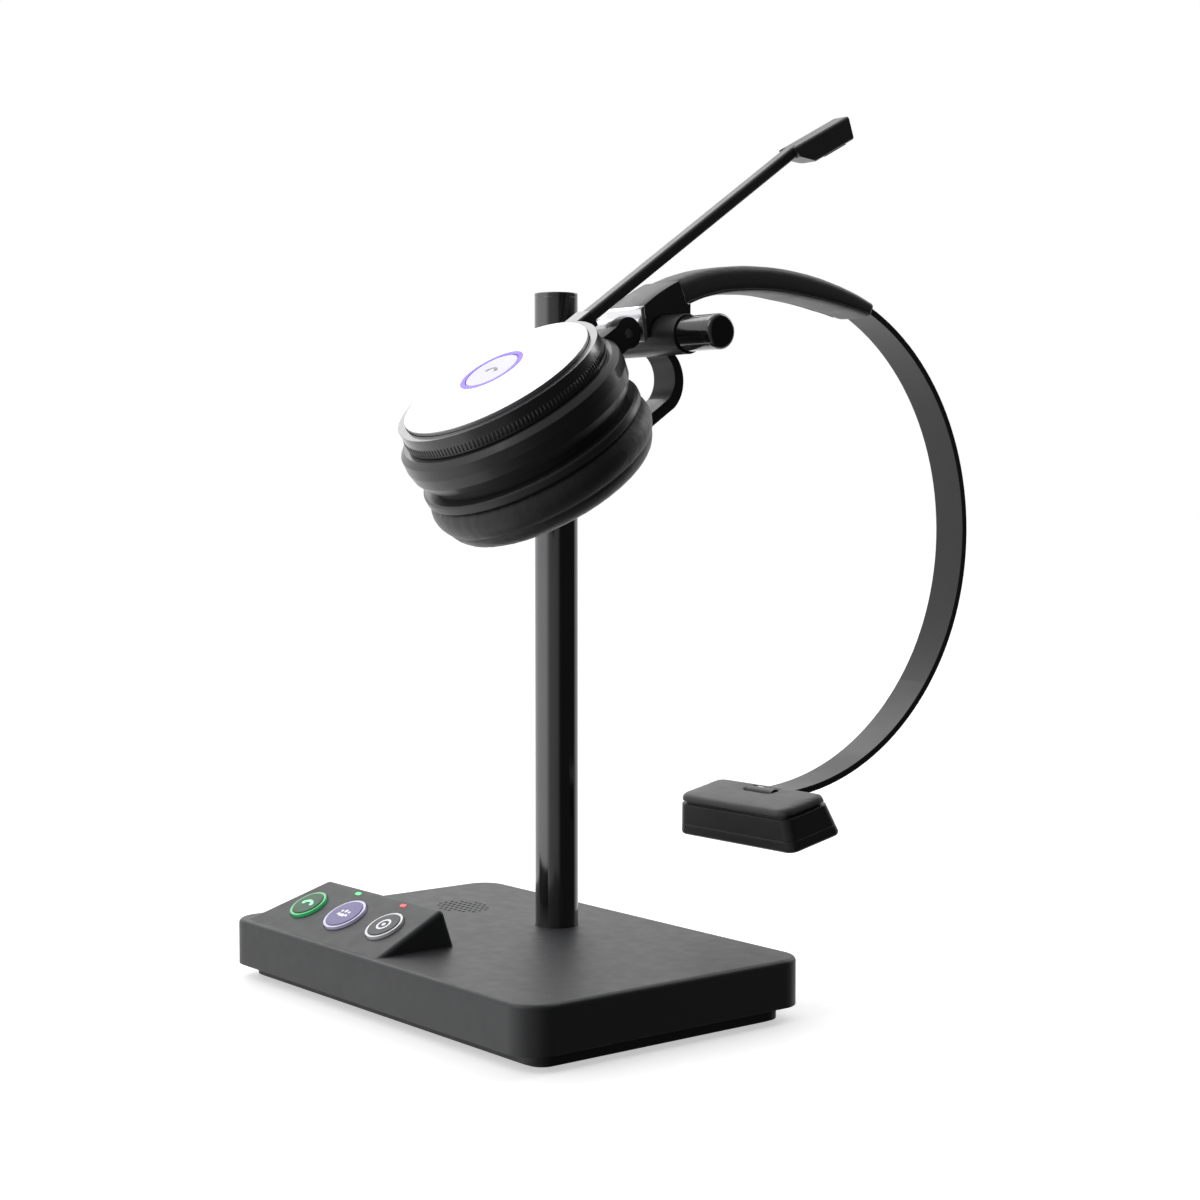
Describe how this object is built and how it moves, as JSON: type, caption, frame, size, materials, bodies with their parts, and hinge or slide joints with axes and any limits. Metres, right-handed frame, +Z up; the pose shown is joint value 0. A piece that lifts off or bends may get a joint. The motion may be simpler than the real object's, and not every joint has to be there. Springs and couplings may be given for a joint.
{
  "type": "wireless office headset on a charging stand",
  "caption": "Single-ear wireless headset with a boom microphone, hanging on the arm of a weighted charging stand with a sloped key console.",
  "frame": {"origin": "centre of the base's underside, on the desk", "axes": "+X along the base's width to the arm's end, +Y to the back of the base, +Z up"},
  "size_m": [0.142, 0.1914, 0.243],
  "materials": {
    "shell_plastic": "fine moulded texture",
    "plinth_plastic": "moulded",
    "mat_rubber": "ribbed matte",
    "plain_steel": "zinc plated",
    "board": "solder mask",
    "inner_black": "plain",
    "lens_green": "translucent, lit",
    "lens_red": "translucent, lit",
    "socket_steel": "plated",
    "skirt_green": "translucent, lit",
    "cap_green": "printed with a plain handset icon",
    "skirt_lilac": "translucent, lit",
    "cap_lilac": "printed with a plain people icon",
    "skirt_white": "translucent",
    "cap_grey": "printed with a plain ring icon",
    "pole_metal": "glossy black",
    "arm_gloss": "glossy black",
    "collar_plastic": "satin",
    "contact_gold": "gold plated",
    "housing_plastic": "satin",
    "bright_metal": "bright",
    "band_leather": "soft leatherette",
    "band_steel": "satin black",
    "slider_steel": "brushed",
    "cup_plastic": "satin",
    "spun_metal": "spun, circular grain",
    "light_guide": "translucent, lit",
    "button_plastic": "satin, backlit",
    "battery_foil": "foil pack",
    "lip_plastic": "satin",
    "cushion_leather": "soft leatherette",
    "mesh_cloth": "woven",
    "ring_plastic": "knurled rim",
    "boom_plastic": "satin",
    "screen_metal": "pierced",
    "pad_soft": "soft leatherette",
    "pad_plastic": "satin"
  },
  "bodies": {
    "stand": {"base_shell": "shell_plastic", "bottom_cover": "plinth_plastic", "foot_mat": "mat_rubber", "ballast_plate": "plain_steel", "main_board": "board", "base_speaker": "inner_black", "key_board": "board", "key_switches": "inner_black", "lens_green": "lens_green", "lens_red": "lens_red", "usb_sockets": "socket_steel", "cover_screws": "plain_steel", "pole": "pole_metal", "pole_cap": "pole_metal", "pole_plug": "plain_steel", "pole_screw": "plain_steel", "hanger_arm": "arm_gloss", "arm_stud": "plain_steel", "arm_end_cap": "arm_gloss", "charge_collar": "collar_plastic", "charge_pins": "contact_gold", "cup_rest": "collar_plastic"},
    "key_call": {"key_call_skirt": "skirt_green", "key_call_cap": "cap_green"},
    "key_meeting": {"key_meeting_skirt": "skirt_lilac", "key_meeting_cap": "cap_lilac"},
    "key_mute": {"key_mute_skirt": "skirt_white", "key_mute_cap": "cap_grey"},
    "headband": {"slider_housing": "housing_plastic", "band_front_cap": "bright_metal", "charge_pads": "contact_gold", "band_cover": "band_leather", "band_spring": "band_steel"},
    "slider": {"slider_strip": "slider_steel", "hinge_pin": "plain_steel"},
    "ear_cup": {"cup_housing": "cup_plastic", "hinge_bracket": "housing_plastic", "cup_plate": "spun_metal", "light_ring": "light_guide", "cup_board": "board", "cup_battery": "battery_foil", "cup_baffle": "inner_black", "speaker_driver": "inner_black", "cushion_ring": "lip_plastic", "ear_cushion": "cushion_leather", "ear_mesh": "mesh_cloth"},
    "answer_button": {"answer_button": "button_plastic"},
    "boom": {"boom_ring": "ring_plastic", "boom_arm": "boom_plastic", "mic_capsule": "boom_plastic", "mic_screen": "screen_metal"},
    "head_pad": {"pad_cushion": "pad_soft", "pad_body": "pad_plastic", "pad_base": "pad_plastic", "pad_pin": "plain_steel"}
  },
  "joints": [
    {"name": "lift_off", "type": "slide", "parent": "stand", "child": "headband", "axis": [0, 0, 1], "range_m": [0, 0.16]},
    {"name": "size_slide", "type": "hinge", "parent": "headband", "child": "slider", "pos_m": [0.036, 0.05054, 0.13612], "axis": [1, 0, 0], "range_deg": [0, 13]},
    {"name": "cup_tilt", "type": "hinge", "parent": "slider", "child": "ear_cup", "pos_m": [0.036, 0.00805, 0.17891], "axis": [1, 0, 0], "range_deg": [-8, 0]},
    {"name": "boom_turn", "type": "hinge", "parent": "ear_cup", "child": "boom", "pos_m": [0.036, -0.0295, 0.16685], "axis": [0, 0.5606, -0.8281], "range_deg": [0, 270]},
    {"name": "answer_press", "type": "slide", "parent": "ear_cup", "child": "answer_button", "axis": [0, 0.5606, -0.8281], "range_m": [0, 0.0005], "stiffness_N_per_m": 400},
    {"name": "pad_swing", "type": "hinge", "parent": "headband", "child": "head_pad", "pos_m": [0.036, 0.06204, 0.05402], "axis": [1, 0, 0], "range_deg": [-8, 8]},
    {"name": "call_press", "type": "slide", "parent": "stand", "child": "key_call", "axis": [0, 0.454, -0.891], "range_m": [0, 0.0008], "stiffness_N_per_m": 400},
    {"name": "meeting_press", "type": "slide", "parent": "stand", "child": "key_meeting", "axis": [0, 0.454, -0.891], "range_m": [0, 0.0008], "stiffness_N_per_m": 400},
    {"name": "mute_press", "type": "slide", "parent": "stand", "child": "key_mute", "axis": [0, 0.454, -0.891], "range_m": [0, 0.0008], "stiffness_N_per_m": 400}
  ]
}
